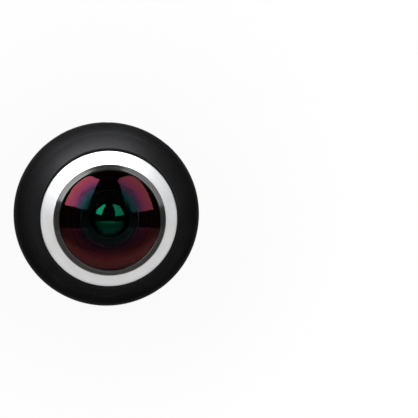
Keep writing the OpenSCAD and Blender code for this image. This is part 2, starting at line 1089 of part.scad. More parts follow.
module buzzer() {
    color("#202020")
        translate([buzzer_x, 0, 0])
            hole(buzzer_r, board_z, board_z + buzzer_h);
}

module usb_socket() {
    y1 = body_r - usb_in;
    color("#bfc2c6") {
        difference() {
            box(0, y1 - usb_d / 2, usb_w, usb_d, board_z, usb_h);
            box(0, y1 - usb_d / 2 + 2 * socket_wall, usb_w - 2 * socket_wall, usb_d, board_z + socket_wall,
                usb_h - 2 * socket_wall);
        }
        box(0, y1 - usb_d / 2 - 2 * socket_wall, tongue_w, usb_d - 4 * socket_wall,
            board_z + (usb_h - tongue_h) / 2, tongue_h);
    }
}

module card_slot() {
    y1 = body_r - card_in;
    color("#b4b7bb")
        difference() {
            box(0, y1 - card_d / 2, card_w, card_d, board_z0 - card_h, card_h);
            box(0, y1 - card_d / 2 + 2 * socket_wall, card_w - 4 * socket_wall, card_d,
                board_z0 - card_h + socket_wall, card_h - 2 * socket_wall);
        }
}

module sensor_flex() {
    z0 = board_z + link_h;
    z1 = holder_z0 - board_t - link_h;
    y0 = link_y - link_d / 2 + clear;
    color("#b5762a")
        translate([-flex_w / 2, 0, 0])
            rotate([90, 0, 90])
                linear_extrude(flex_w)
                    polygon([
                        [y0, z1 - flex_t],
                        [flex_y - flex_t, z1 - flex_t],
                        [flex_y - flex_t, z0 + flex_t],
                        [y0, z0 + flex_t],
                        [y0, z0],
                        [flex_y, z0],
                        [flex_y, z1],
                        [y0, z1]
                    ]);
}

module frame_screws() {
    color("#b9bcc0")
        at_posts()
            screw_up(board_z0 - ear_t, screw_r, ear_t + board_t + screw_bite, screw_head_r, screw_head_h);
}

module base_screws() {
    color("#b9bcc0")
        at_base_screws()
            screw_up(
                pad_t + base_bore_t, small_screw_r,
                floor_z0 - pad_t - small_bite / 2, small_head_r, small_head_h
            );
}

module tripod_nut() {
    color("#c9a24a")
        rotate_extrude()
            difference() {
                union() {
                    block(0, nut_r, nut_lift, nut_lift + thread_len + nut_end);
                    block(0, nut_flange_r, base_t, base_t + nut_flange_t);
                }
                block(0, thread_r, 0, nut_lift + thread_len);
            }
}

module foot_pad() {
    color("#262626")
        rotate_extrude()
            block(pad_in_r, pad_r, 0, pad_t);
}

module port_frame() {
    color("#202022")
        difference() {
            intersection() {
                panel_skin(flange_in, panel_back, door_band_h);
                rear_prism(body_r - door_depth - 1, body_r)
                    union() {
                        door_outline(flange_reach);
                        translate([-barrel_len / 2 - 2, hinge_z - relief_r - 0.5])
                            square([barrel_len + 4, 2 * relief_r]);
                    }
            }
            box(0, body_r, usb_w + 0.8, 3 * door_depth, board_z - 0.3, usb_h + 0.6);
            box(0, body_r, card_w - 1, 3 * door_depth, board_z0 - card_h + clear, card_h - 2 * clear);
        }
}

module port_cover() {
    color("#1a1a1b")
        difference() {
            union() {
                intersection() {
                    panel_skin(0, door_t, door_band_h);
                    rear_prism(body_r - door_depth, body_r + past)
                        door_outline(-door_gap, door_foot);
                }
                intersection() {
                    panel_skin(0.3, door_t, door_band_h);
                    translate([-barrel_len / 2, hinge_y - 3, hinge_z])
                        cube([barrel_len, 3 + knuckle_r, hinge_drop + door_gap + door_foot + neck_lap]);
                }
                hinge_cylinder(knuckle_r, barrel_len / 2);
            }
            hinge_cylinder(pin_r + pin_clear, body_r);
        }
}

module cover_pin() {
    color("#b9bcc0")
        hinge_cylinder(pin_r, barrel_len / 2 + door_gap + pin_grip);
}

upper_shell();
lower_shell();
lens_ring();
lens_bezel();
front_lens();
lens_seal();
lens_barrel();
inner_retainer();
second_lens();
third_lens();
aperture_stop();
rear_lens();
lens_holder();
ir_filter();
image_sensor();
sensor_board();
sensor_screws();
barrel_screws();
control_panel();
power_button();
mode_button();
power_plunger();
mode_plunger();
power_switch();
mode_switch();
switch_boards();
light_pipes();
indicator_leds();
indicator_board();
indicator_screws();
microphone();
mic_seal();
inner_frame();
battery();
battery_leads();
main_board();
board_chips();
wifi_module();
buzzer();
usb_socket();
card_slot();
sensor_flex();
frame_screws();
base_screws();
tripod_nut();
foot_pad();
port_frame();
port_cover();
cover_pin();
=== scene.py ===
import json
import math

import bmesh
import bpy
import numpy as np
from mathutils import Matrix, Vector


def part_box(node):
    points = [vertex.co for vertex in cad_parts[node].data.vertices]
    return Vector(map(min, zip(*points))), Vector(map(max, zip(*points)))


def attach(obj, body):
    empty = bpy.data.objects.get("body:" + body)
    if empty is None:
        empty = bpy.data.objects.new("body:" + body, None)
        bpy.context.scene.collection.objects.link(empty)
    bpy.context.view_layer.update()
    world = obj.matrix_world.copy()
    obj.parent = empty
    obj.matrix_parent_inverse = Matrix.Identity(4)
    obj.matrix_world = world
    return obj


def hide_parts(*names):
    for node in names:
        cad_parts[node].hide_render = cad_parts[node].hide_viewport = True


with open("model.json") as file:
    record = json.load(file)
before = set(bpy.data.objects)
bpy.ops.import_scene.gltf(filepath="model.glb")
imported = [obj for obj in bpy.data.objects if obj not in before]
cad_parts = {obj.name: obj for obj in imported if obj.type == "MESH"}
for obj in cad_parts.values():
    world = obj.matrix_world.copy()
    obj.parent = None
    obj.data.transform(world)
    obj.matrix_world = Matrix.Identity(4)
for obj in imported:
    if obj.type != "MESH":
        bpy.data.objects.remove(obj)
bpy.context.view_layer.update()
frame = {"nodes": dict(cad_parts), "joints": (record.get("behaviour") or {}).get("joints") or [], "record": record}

NODES = frame["nodes"]
JOINTS = {joint["name"]: joint for joint in frame["joints"]}
MM = 0.001
FULL_TURN = 2 * math.pi
WHITE = (1, 1, 1, 1)

# Ball, height of the seam, and middle of the sphere that the panel and the keys lie on
BALL_R = 30 * MM
KEY_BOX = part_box("power_button")
SEAM_Z = (KEY_BOX[0].z + KEY_BOX[1].z) / 2
PANEL_Z = SEAM_Z + 1.6 * MM

# Silver ring: its rim on the shell, its inner edge, and its seat on the lens cup
RING_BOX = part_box("lens_ring")
RING_FOOT = RING_BOX[0].z
RING_TOP = RING_BOX[1].z
RING_R = RING_BOX[1].x
RING_IN_R = 16.3 * MM
RING_LOW_R = 17.4 * MM
RING_EDGE = 0.08 * MM
RIM_Z = RING_FOOT + 1.5 * MM
RIM_RISE = 0.15 * MM
CUP_TOP = RIM_Z + 1.7 * MM
SEAT_GAP = 0.1 * MM

# Dark bezel: its skirt, its lip at the glass, and the channel turned in its face, in shares of the face
BEZEL_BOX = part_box("lens_bezel")
BEZEL_FOOT = BEZEL_BOX[0].z
BEZEL_TOP = BEZEL_BOX[1].z
BEZEL_R = BEZEL_BOX[1].x
BEZEL_IN_R = 14.65 * MM
BEZEL_SLOPE = math.radians(24)
SKIRT_IN_R = 15.5 * MM
LIP_W = 0.2 * MM
LIP_DROP = 0.13 * MM
CHANNEL_START = 0.42
CHANNEL_END = 0.5
CHANNEL_DEPTH = 0.06 * MM
CHANNEL_LEAN = 0.02 * MM
INKED_LIP = 0.08 * MM

# Glass dome: its flange, outer sphere, ground edge and hollow
DOME_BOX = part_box("front_lens")
GLASS_R = DOME_BOX[1].x
APEX_Z = DOME_BOX[1].z
FLANGE_Z = DOME_BOX[0].z
FLANGE_T = 1.6 * MM
DOME_EDGE_R = 14.5 * MM
DOME_CURVE_R = 25.2 * MM
DOME_T = 1.8 * MM
HOLLOW_CURVE_R = 11 * MM
GROUND_EDGE = 0.08 * MM
GROUND_DROP = 0.06 * MM
SPHERE_SLACK = 0.02 * MM

# Second lens: its flange, front sphere and hollow back
SECOND_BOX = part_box("second_lens")
SECOND_FLANGE_R = SECOND_BOX[1].x
SECOND_FLANGE_T = 1.4 * MM
SECOND_LENS_R = 5.7 * MM
SECOND_CURVE_R = 10.5 * MM
SECOND_HOLLOW_R = 6 * MM
SECOND_EYE_R = 4.2 * MM

# Rubber foot and its ribs
PAD_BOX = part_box("foot_pad")
PAD_IN_R = 4.3 * MM
PAD_MARGIN = 0.25 * MM
PAD_EDGE = 0.3 * MM
RIBS = 7
RIB_H = 0.16 * MM

# Thread of the tripod insert; its ends, start and profile are in pitches, its least height is a share
NUT_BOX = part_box("tripod_nut")
THREAD_R = 3.175 * MM
THREAD_CREST_R = 2.6 * MM
THREAD_PITCH = 1.27 * MM
THREAD_LEN = 5.3 * MM
THREAD_BITE = 0.02 * MM
THREAD_ENDS = 1.1
THREAD_START = 0.55
THREAD_PROFILE = np.array([-0.44, -0.07, 0.07, 0.44])
THREAD_LEAST = 0.05

# Tongue of the socket, its sleeve and its contacts; the tips are shares of the width, the taper is a share
# of the run, and the sides and levels of a contact's outline are shares of its half width and its height
TONGUE_H = 0.6 * MM
TONGUE_W = 5 * MM
TONGUE_BACK = 1.4 * MM
TONGUE_LEN = 3.4 * MM
TONGUE_EASE = 0.1 * MM
SLEEVE_T = 0.03 * MM
SLEEVE_TAPER = 0.08 * MM
SLEEVE_TIP = 0.94
CONTACTS = 5
CONTACT_PITCH = 0.65 * MM
CONTACT_W = 0.38 * MM
CONTACT_LEN = 2.6 * MM
CONTACT_T = 0.05 * MM
CONTACT_BACK = 0.12 * MM
CONTACT_HUMP = 0.1 * MM
CONTACT_TIP = 0.7
CONTACT_SPREAD = 0.3
CONTACT_TAPER = 0.125
CONTACT_SIDES = np.array([-1, -0.8, 0.8, 1, 1, -1])
CONTACT_LEVELS = np.array([0.6, 1, 1, 0.6, -0.4, -0.4])

# Signs printed on the keys: the shoulder is the flat share of a stroke's width, the end is how far its round
# ends close, and the gap of the power sign is in degrees
PRINT_LIFT = 0.03 * MM
PRINT_STROKE = 0.72 * MM
PRINT_SHOULDER = 0.92
PRINT_END = 0.995
POWER_RING_R = 2.82 * MM
POWER_GAP = 38
POWER_BAR_START = -3.4 * MM
POWER_BAR_END = 0.75 * MM
MENU_BAR = 3.4 * MM
MENU_PITCH = 2.4 * MM

# Steps along curves: a whole turn, an eased corner, the lenses' arcs, the foot, the thread, contact and signs
TURN_STEPS = 192
EASE_STEPS = 6
DOME_STEPS = 72
HOLLOW_STEPS = 64
SECOND_STEPS = 48
SECOND_HOLLOW_STEPS = 32
PAD_STEPS = 81
THREAD_STEPS = 64
CONTACT_STEPS = 25
RING_SIGN_STEPS = 97
BAR_SIGN_STEPS = 41

# Points nearer than the first are one, and edges shorter than the second are dissolved
MERGE_DIST = 1e-7
LEAST_EDGE = 1e-8

# Patterns: the part of a noise that is used, turned metal's mottle, smears on glass, and tracks on a board
NOISE_LOW = 0.3
NOISE_HIGH = 0.7
LATHE_MOTTLE = 2 * MM
SMEAR_SIZE = 6 * MM
SMEAR_ROUGH = 0.02
SMEAR_LOW = 0.5
SMEAR_HIGH = 0.8
TRACK_CELLS = 420.0
TRACK_EDGE = 0.03
TRACK_END = 0.09
TRACK_DEPTH = 0.02 * MM
BOARD_MOTTLE = 0.8 * MM
BOARD_ROUGH = (0.28, 0.42)
BOARD_GREEN = (0.008, 0.085, 0.03)
TRACK_GREEN = (0.03, 0.2, 0.075)

# View of the photograph: lens towards the camera, key panel towards the top of the picture
FRAME_PX = 418
BALL_PX = (107.9, 213.6)
VIEW_AZIMUTH = math.radians(20)
VIEW_ELEVATION = math.radians(85.5)
VIEW_DISTANCE = 0.235
VIEW_CLIP = 0.005
SENSOR_MM = 36
LENS_MM = 60.6
BALL_CENTRE = Vector((0, 0, SEAM_Z + 1.3 * MM))

# Lamps: corners in metres from the top of the lens, those of the softboxes as places times a reach, and
# what each lamp gives off
SOFTBOX_REACH = np.array([0.72, 0.72, 0.4, 0.4])[:, None]
LEFT_CORNERS = SOFTBOX_REACH * np.array([
    (0.470, -0.840, 0.265), (0.185, -0.825, 0.535), (0.520, -0.240, 0.820), (0.905, -0.197, 0.380),
])
LEFT_LIGHT = 6.6
RIGHT_CORNERS = SOFTBOX_REACH * np.array([
    (-0.145, -0.828, 0.543), (-0.50, -0.825, 0.265), (-0.900, -0.139, 0.420), (-0.44, -0.122, 0.89),
])
RIGHT_LIGHT = 2.95
DISC_CORNERS = [(1.0, 0.23, 1.0), (-1.0, 0.23, 1.0), (-1.0, 0.23, -1.0), (1.0, 0.23, -1.0)]
DISC_LIGHT = 1.3
DISC_LEVELS = [
    (0.0, (0, 0, 0)), (0.515, (0.03, 0.03, 0.03)), (0.532, (0.55, 0.5, 0.48)), (0.56, (0.6, 0.54, 0.52)),
    (0.6, (0.2, 0.18, 0.17)), (0.74, (0.26, 0.24, 0.23)), (0.84, (0.8, 0.8, 0.8)), (0.92, (1, 1, 1)),
]
CARD_CORNERS = [(0.55, -0.45, 0.06), (-0.2, -0.45, 0.06), (-0.2, -0.45, -0.058), (0.55, -0.45, -0.058)]
CARD_LIGHT = 12.5

# World: tones from straight down, at 0, to straight up, at 1, and the sockets of a colour mix
WORLD_LEVELS = [
    (0.0, (0.4, 0.4, 0.4)), (0.52, (0.35, 0.35, 0.35)),
    (0.6, (0.03, 0.03, 0.03)), (1.0, (0.015, 0.015, 0.015)),
]
MIX_FIRST = 6
MIX_SECOND = 7
MIX_RESULT = 2

# Floor: radii of its rings, and its share of plain white from near the object to further off; the smaller share
# near the object greys the floor there, a painted shade round the object on top of its real shadow
FLOOR_RADII = np.array([0.0, 0.2, 0.6, 1.4])[:, None]
FLOOR_SPOKES = 64
FLOOR_DROP = 0.02 * MM
FLOOR_TONE = (0.5, 0.5, 0.5, 1)
FLOOR_ROUGH = 0.9
NEAR_WHITE = 0.94
FAR_WHITE = 1.0
NEAR_R = 0.035
FAR_R = 0.1


def mesh_piece(name, points, faces, body, material, sharp):
    """Object at the origin from points and faces: doubles are merged, faces turned outwards, and edges
    below the sharp angle, in degrees, are smooth."""
    mesh = bpy.data.meshes.new(name)
    mesh.from_pydata(points.reshape(-1, 3).tolist(), [], faces)
    work = bmesh.new()
    work.from_mesh(mesh)
    bmesh.ops.remove_doubles(work, verts=work.verts, dist=MERGE_DIST)
    bmesh.ops.dissolve_degenerate(work, edges=work.edges, dist=LEAST_EDGE)
    bmesh.ops.recalc_face_normals(work, faces=work.faces)
    work.to_mesh(mesh)
    work.free()
    mesh.shade_smooth()
    mesh.set_sharp_from_angle(angle=math.radians(sharp))
    piece = bpy.data.objects.new(name, mesh)
    bpy.context.scene.collection.objects.link(piece)
    mesh.materials.append(material)
    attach(piece, body)
    return piece


def grid_faces(rows, columns, wrap_rows=False, wrap_columns=False):
    """Quads between neighbours of a grid of points. A wrapped side also joins its last line to its first."""
    i, j = np.meshgrid(
        np.arange(rows if wrap_rows else rows - 1),
        np.arange(columns if wrap_columns else columns - 1),
        indexing="ij",
    )
    i2 = (i + 1) % rows
    j2 = (j + 1) % columns
    corners = (i * columns + j, i2 * columns + j, i2 * columns + j2, i * columns + j2)
    return np.stack(corners, -1).reshape(-1, 4).tolist()


def arc(centre, radius, start, end, steps):
    """Points of a circle's arc: centre plus radius times the cosine and sine of evenly spaced angles,
    given in degrees."""
    angle = np.radians(np.linspace(start, end, steps))
    return np.array(centre) + radius * np.stack([np.cos(angle), np.sin(angle)], -1)


def eased(corners, cuts):
    """Closed outline whose corners are eased: a quadratic curve leaves each side at the given cut from
    its corner."""
    corners = np.array(corners, float)
    to_last = np.roll(corners, 1, 0) - corners
    to_next = np.roll(corners, -1, 0) - corners
    cuts = np.array(cuts)[:, None]
    start = corners + to_last / np.linalg.norm(to_last, axis=1, keepdims=True) * cuts
    end = corners + to_next / np.linalg.norm(to_next, axis=1, keepdims=True) * cuts
    t = np.linspace(0, 1, EASE_STEPS)[None, :, None]
    curve = (1 - t) ** 2 * start[:, None] + 2 * t * (1 - t) * corners[:, None] + t**2 * end[:, None]
    return curve.reshape(-1, 2)


def turned(name, profile, slot, closed=True, sharp=32):
    """Surface of revolution: a point (r, z) of the profile goes to (r cos a, r sin a, z) for a whole turn
    of a. A profile that isn't closed starts and ends on the axis."""
    a = np.linspace(0, FULL_TURN, TURN_STEPS, endpoint=False)[:, None]
    r = profile[None, :, 0]
    z = profile[None, :, 1]
    points = np.stack([r * np.cos(a), r * np.sin(a), z + 0 * a], -1)
    faces = grid_faces(TURN_STEPS, len(profile), wrap_rows=True, wrap_columns=closed)
    return mesh_piece(name, points, faces, "camera", FINISH[slot], sharp)


def swept(name, sections, body, material, sharp=40):
    """Closed profile carried along a path: sections[i, k] is point k of profile i, and a face caps
    either end."""
    rows, columns = sections.shape[:2]
    faces = grid_faces(rows, columns, wrap_columns=True)
    faces += [list(range(columns)), list(range((rows - 1) * columns, rows * columns))]
    mesh_piece(name, sections, faces, body, material, sharp)


def node_of(material, kind, **settings):
    """New node of the material; settings named for inputs are set there, the others on the node itself."""
    node = material.node_tree.nodes.new(kind)
    for key, value in settings.items():
        socket = key.replace("_", " ")
        if socket in node.inputs:
            node.inputs[socket].default_value = value
        else:
            setattr(node, key, value)
    return node


def join(material, output, target):
    """Link from an output to an input of the same material."""
    material.node_tree.links.new(output, target)


def shader_of(material):
    """The material's one Principled shader."""
    return material.node_tree.nodes["Principled BSDF"]


def feed(material, output, socket):
    """Link from an output to a socket of the material's shader."""
    join(material, output, shader_of(material).inputs[socket])


def plain_finish(name, colour, rough, metal=0.0, **sockets):
    """Material with one Principled shader; further sockets are named with underscores for their spaces."""
    material = bpy.data.materials.new(name)
    material.use_nodes = True
    shader = shader_of(material)
    shader.inputs["Base Color"].default_value = (*colour, 1)
    shader.inputs["Roughness"].default_value = rough
    shader.inputs["Metallic"].default_value = metal
    for key, value in sockets.items():
        shader.inputs[key.replace("_", " ")].default_value = value
    return material


def speckle(material, size, detail=3.0, stretch=(1, 1, 1)):
    """Noise on Object coordinates with features of the given size in metres, finer along an axis by its
    stretch."""
    place = node_of(material, "ShaderNodeTexCoord")
    scale = node_of(material, "ShaderNodeMapping", Scale=stretch)
    noise = node_of(material, "ShaderNodeTexNoise", Scale=1 / size, Detail=detail)
    join(material, place.outputs["Object"], scale.inputs["Vector"])
    join(material, scale.outputs["Vector"], noise.inputs["Vector"])
    return noise.outputs["Fac"]


def span(material, value, low, high, start=NOISE_LOW, end=NOISE_HIGH):
    """The value carried in a straight line from start and end to low and high."""
    node = node_of(material, "ShaderNodeMapRange", From_Min=start, From_Max=end, To_Min=low, To_Max=high)
    join(material, value, node.inputs["Value"])
    return node.outputs["Result"]


def rings(material, pitch):
    """Sine of the distance from the Z axis, one wave a pitch: the marks that turning leaves on a face."""
    place = node_of(material, "ShaderNodeTexCoord")
    flat = node_of(material, "ShaderNodeMapping", Scale=(1, 1, 0))
    reach = node_of(material, "ShaderNodeVectorMath", operation="LENGTH")
    wave = node_of(material, "ShaderNodeMath", operation="MULTIPLY")
    wave.inputs[1].default_value = FULL_TURN / pitch
    sine = node_of(material, "ShaderNodeMath", operation="SINE")
    join(material, place.outputs["Object"], flat.inputs["Vector"])
    join(material, flat.outputs["Vector"], reach.inputs[0])
    join(material, reach.outputs["Value"], wave.inputs[0])
    join(material, wave.outputs["Value"], sine.inputs[0])
    return span(material, sine.outputs["Value"], 0, 1, -1, 1)


def tones(material, value, *stops):
    """Colours laid along the value: each stop is a place from 0 to 1 and its colour."""
    node = node_of(material, "ShaderNodeValToRGB")
    while len(node.color_ramp.elements) < len(stops):
        node.color_ramp.elements.new(0.5)
    for element, (place, colour) in zip(node.color_ramp.elements, stops):
        element.position = place
        element.color = (*colour, 1)
    join(material, value, node.inputs["Fac"])
    return node.outputs["Color"]


def mottled(material, size, dark, light):
    """Base colour that wanders between a dark and a light tone in a slow noise of the given size."""
    shade = tones(material, speckle(material, size), (NOISE_LOW, dark), (NOISE_HIGH, light))
    feed(material, shade, "Base Color")


def raised(material, height, depth):
    """Bump of the given depth in metres from a height between 0 and 1."""
    bump = node_of(material, "ShaderNodeBump", Strength=1.0, Distance=depth)
    join(material, height, bump.inputs["Height"])
    feed(material, bump.outputs["Normal"], "Normal")


def worked(name, dark, light, mottle, grain, rough, depth, metal=0.0, stretch=(1, 1, 1), **sockets):
    """Finish with two tones in a slow noise, roughness in a finer one, and a bump from the same grain."""
    material = plain_finish(name, light, rough[0], metal, **sockets)
    mottled(material, mottle, dark, light)
    fine = speckle(material, grain, stretch=stretch)
    feed(material, span(material, fine, *rough), "Roughness")
    raised(material, fine, depth)
    return material


def lathe_cut(name, dark, light, pitch, rough, depth, metal=1.0, **sockets):
    """Turned face: two tones in a slow noise, and fine rings about the axis that move its roughness and
    a shallow bump."""
    material = plain_finish(name, light, rough[0], metal, **sockets)
    mottled(material, LATHE_MOTTLE, dark, light)
    ring = rings(material, pitch)
    feed(material, span(material, ring, *rough, 0, 1), "Roughness")
    raised(material, ring, depth)
    return material


def coated_glass(name, body_tint, ior, *coat):
    """Clear glass whose surface reflection takes the coating's colour by the angle at which it is seen,
    with faint smears in its gloss."""
    material = plain_finish(name, body_tint, 0.0, Transmission_Weight=1.0, IOR=ior)
    angle = node_of(material, "ShaderNodeLayerWeight", Blend=0.5)
    feed(material, tones(material, angle.outputs["Facing"], *coat), "Specular Tint")
    smear = speckle(material, SMEAR_SIZE, detail=2.0)
    feed(material, span(material, smear, 0.0, SMEAR_ROUGH, SMEAR_LOW, SMEAR_HIGH), "Roughness")
    return material


def board_finish(name):
    """Solder mask: a cell pattern turned to square tracks shows paler copper under the green."""
    material = plain_finish(name, BOARD_GREEN, BOARD_ROUGH[0])
    place = node_of(material, "ShaderNodeTexCoord")
    cells = node_of(
        material,
        "ShaderNodeTexVoronoi",
        distance="MANHATTAN",
        feature="DISTANCE_TO_EDGE",
        Scale=TRACK_CELLS,
    )
    join(material, place.outputs["Object"], cells.inputs["Vector"])
    track = span(material, cells.outputs["Distance"], 1, 0, TRACK_EDGE, TRACK_END)
    feed(material, tones(material, track, (0, BOARD_GREEN), (1, TRACK_GREEN)), "Base Color")
    feed(material, span(material, speckle(material, BOARD_MOTTLE), *BOARD_ROUGH), "Roughness")
    raised(material, track, TRACK_DEPTH)
    return material


# Finishes by the record's slots, with two more, quiet_glass and edge_ink, for faces of the lenses and the
# bezel. A worked finish is given by its two tones, the sizes of its mottle and its grain, its range of
# roughness and the depth of its bump. A lathe-cut one has the pitch of its rings in place of the two sizes.
# A coated glass has the tint and index of its body and the stops of its coating. RIM_FADE dims the rim of
# the black finishes.
RIM_FADE = (0.25, 0.25, 0.25, 1)
FINISH = {
    "shell_black": worked("soft_touch_black", (0.019, 0.019, 0.02), (0.024, 0.024, 0.025), 9 * MM,
                          0.16 * MM, (0.42, 0.52), 0.004 * MM, metal=1.0, Specular_Tint=RIM_FADE),
    "panel_black": worked("panel_satin_black", (0.019, 0.019, 0.02), (0.024, 0.024, 0.025), 7 * MM,
                          0.12 * MM, (0.36, 0.46), 0.003 * MM, metal=1.0, Specular_Tint=RIM_FADE),
    "key_black": worked("key_satin_black", (0.017, 0.017, 0.018), (0.022, 0.022, 0.023), 4 * MM,
                        0.1 * MM, (0.34, 0.44), 0.003 * MM, metal=1.0, Specular_Tint=RIM_FADE),
    "door_black": worked("door_rubber_black", (0.026, 0.026, 0.026), (0.032, 0.032, 0.032), 3 * MM,
                         0.14 * MM, (0.5, 0.62), 0.006 * MM, metal=1.0, Specular_Tint=RIM_FADE),
    "ring_silver": worked("blasted_silver", (0.75, 0.76, 0.77), (0.82, 0.825, 0.835), 5 * MM,
                          0.09 * MM, (0.42, 0.52), 0.004 * MM, metal=1.0),
    "bezel_grey": lathe_cut("turned_dark_grey", (0.022, 0.022, 0.021), (0.03, 0.03, 0.028), 0.16 * MM,
                            (0.08, 0.14), 0.001 * MM, metal=0.0, Specular_IOR_Level=0.6),
    "dome_glass": coated_glass("dome_coated_glass", (1, 1, 1), 1.54,
                               (0.0, (0.0, 0.02, 0.012)), (0.03, (0.0, 0.06, 0.05)),
                               (0.058, (0.01, 0.18, 0.19)), (0.08, (0.22, 0.12, 0.27)),
                               (0.095, (0.4, 0.085, 0.27)), (0.115, (0.76, 0.11, 0.26)),
                               (0.18, (1.0, 0.13, 0.16)), (0.3, (1.0, 0.2, 0.2)),
                               (1.0, (1.0, 0.75, 0.78))),
    "quiet_glass": coated_glass("quiet_coated_glass", (1, 1, 1), 1.16,
                                (0.0, (0.0, 0.012, 0.01)), (0.3, (0.02, 0.015, 0.025)),
                                (1.0, (0.3, 0.2, 0.3))),
    "inner_glass": coated_glass("inner_green_glass", (0.92, 1, 0.96), 1.8,
                                (0.0, (0.005, 0.46, 0.2)), (0.06, (0.008, 0.42, 0.21)),
                                (0.2, (0.04, 0.18, 0.34)), (1.0, (0.3, 0.4, 0.5))),
    "filter_glass": coated_glass("filter_blue_glass", (0.55, 0.9, 0.95), 1.5,
                                 (0.0, (0.9, 0.15, 0.2)), (0.5, (0.9, 0.4, 0.3)), (1.0, (1, 1, 1))),
    "barrel_black": lathe_cut("barrel_anodised_black", (0.0012, 0.0012, 0.0013), (0.0022, 0.0022, 0.0023),
                              0.22 * MM, (0.4, 0.55), 0.01 * MM, metal=0.0, Specular_IOR_Level=0.015),
    "stop_black": worked("stop_ink_black", (0.004, 0.004, 0.004), (0.007, 0.007, 0.007), 1 * MM,
                         0.06 * MM, (0.6, 0.75), 0.002 * MM, Specular_IOR_Level=0.2),
    "edge_ink": worked("edge_ink_black", (0.001, 0.001, 0.001), (0.0018, 0.0018, 0.0018), 1 * MM,
                       0.2 * MM, (0.5, 0.6), 0.0005 * MM, Specular_IOR_Level=0.02),
    "seal_rubber": worked("seal_rubber_black", (0.004, 0.004, 0.004), (0.007, 0.007, 0.007), 1.5 * MM,
                          0.1 * MM, (0.6, 0.75), 0.005 * MM, Specular_IOR_Level=0.1),
    "sensor_dark": worked("sensor_violet_dark", (0.03, 0.025, 0.06), (0.06, 0.05, 0.1), 2 * MM,
                          0.05 * MM, (0.08, 0.16), 0.001 * MM, Coat_Weight=0.6),
    "board_green": board_finish("board_solder_mask"),
    "chip_black": worked("chip_moulded_black", (0.012, 0.012, 0.013), (0.022, 0.022, 0.024), 1.2 * MM,
                         0.05 * MM, (0.5, 0.65), 0.004 * MM),
    "can_steel": worked("can_tinned_steel", (0.5, 0.505, 0.51), (0.64, 0.645, 0.65), 1.6 * MM,
                        0.12 * MM, (0.22, 0.36), 0.003 * MM, metal=1.0, stretch=(1, 6, 1)),
    "screw_steel": worked("screw_plated_steel", (0.45, 0.45, 0.46), (0.6, 0.6, 0.61), 0.7 * MM,
                          0.05 * MM, (0.25, 0.4), 0.003 * MM, metal=1.0),
    "plunger_red": worked("plunger_matte_red", (0.26, 0.03, 0.025), (0.36, 0.05, 0.04), 0.8 * MM,
                          0.06 * MM, (0.42, 0.55), 0.003 * MM),
    "light_grey": worked("frosted_light_guide", (0.2, 0.203, 0.206), (0.25, 0.253, 0.256), 0.6 * MM,
                         0.05 * MM, (0.32, 0.46), 0.003 * MM, Coat_Weight=0.25),
    "led_cream": worked("led_cream_lens", (0.72, 0.66, 0.42), (0.85, 0.8, 0.6), 0.5 * MM,
                        0.05 * MM, (0.2, 0.32), 0.002 * MM),
    "mic_brass": worked("microphone_dark_brass", (0.05, 0.04, 0.02), (0.08, 0.065, 0.035), 0.8 * MM,
                        0.05 * MM, (0.25, 0.38), 0.002 * MM, metal=1.0),
    "frame_grey": worked("frame_moulded_grey", (0.06, 0.064, 0.07), (0.09, 0.095, 0.1), 3 * MM,
                         0.12 * MM, (0.45, 0.6), 0.006 * MM),
    "battery_silver": worked("battery_foil", (0.38, 0.39, 0.41), (0.52, 0.53, 0.55), 4 * MM,
                             0.5 * MM, (0.25, 0.42), 0.02 * MM, metal=0.7),
    "lead_red": worked("lead_red_rubber", (0.24, 0.015, 0.015), (0.36, 0.03, 0.03), 1 * MM,
                       0.07 * MM, (0.4, 0.55), 0.003 * MM),
    "flex_amber": worked("flex_amber_film", (0.3, 0.13, 0.02), (0.46, 0.21, 0.04), 0.9 * MM,
                         0.1 * MM, (0.22, 0.36), 0.003 * MM, stretch=(8, 1, 1)),
    "nut_brass": lathe_cut("nut_turned_brass", (0.55, 0.36, 0.12), (0.72, 0.5, 0.2), 0.2 * MM,
                           (0.22, 0.36), 0.004 * MM),
}
PRINT_GREY = worked("print_pale_grey", (0.23, 0.233, 0.236), (0.28, 0.283, 0.286), 0.5 * MM,
                    0.05 * MM, (0.5, 0.62), 0.002 * MM)
CONTACT_GOLD = worked("contact_plated_gold", (0.6, 0.42, 0.14), (0.78, 0.58, 0.24), 0.3 * MM,
                      0.05 * MM, (0.2, 0.32), 0.001 * MM, metal=1.0)

# Every CAD node takes the finish of its slot
for subpart in frame["record"]["subparts"]:
    for carried in NODES[subpart["node"]].material_slots:
        carried.material = FINISH[subpart["material_slot"]]
# The two lenses under the second one take the quiet coating
for hidden_lens in ("third_lens", "rear_lens"):
    NODES[hidden_lens].material_slots[0].material = FINISH["quiet_glass"]


def face_middles(piece):
    """Middle of each face of a piece, one row a face."""
    middles = np.empty(3 * len(piece.data.polygons))
    piece.data.polygons.foreach_get("center", middles)
    return middles.reshape(-1, 3)


def number_faces(piece, numbers):
    """Gives each face of a piece the number of its material."""
    piece.data.polygons.foreach_set("material_index", numbers.astype(np.int32))


def bright_ring():
    """Sloping ring: its CAD outline with eased edges, turned about the lens axis."""
    corners = [
        (RING_LOW_R, RING_FOOT),
        (RING_R, RING_FOOT),
        (RING_R, RIM_Z + RIM_RISE),
        (RING_IN_R + RING_EDGE, RING_TOP),
        (RING_IN_R, RING_TOP - RING_EDGE),
        (RING_IN_R, CUP_TOP + SEAT_GAP),
        (RING_LOW_R, CUP_TOP + SEAT_GAP),
    ]
    cuts = np.array([0.05, 0.05, 0.3, 0.03, 0.03, 0.05, 0.05]) * MM
    piece = turned("bright_ring", eased(corners, cuts), "ring_silver")
    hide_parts("lens_ring")


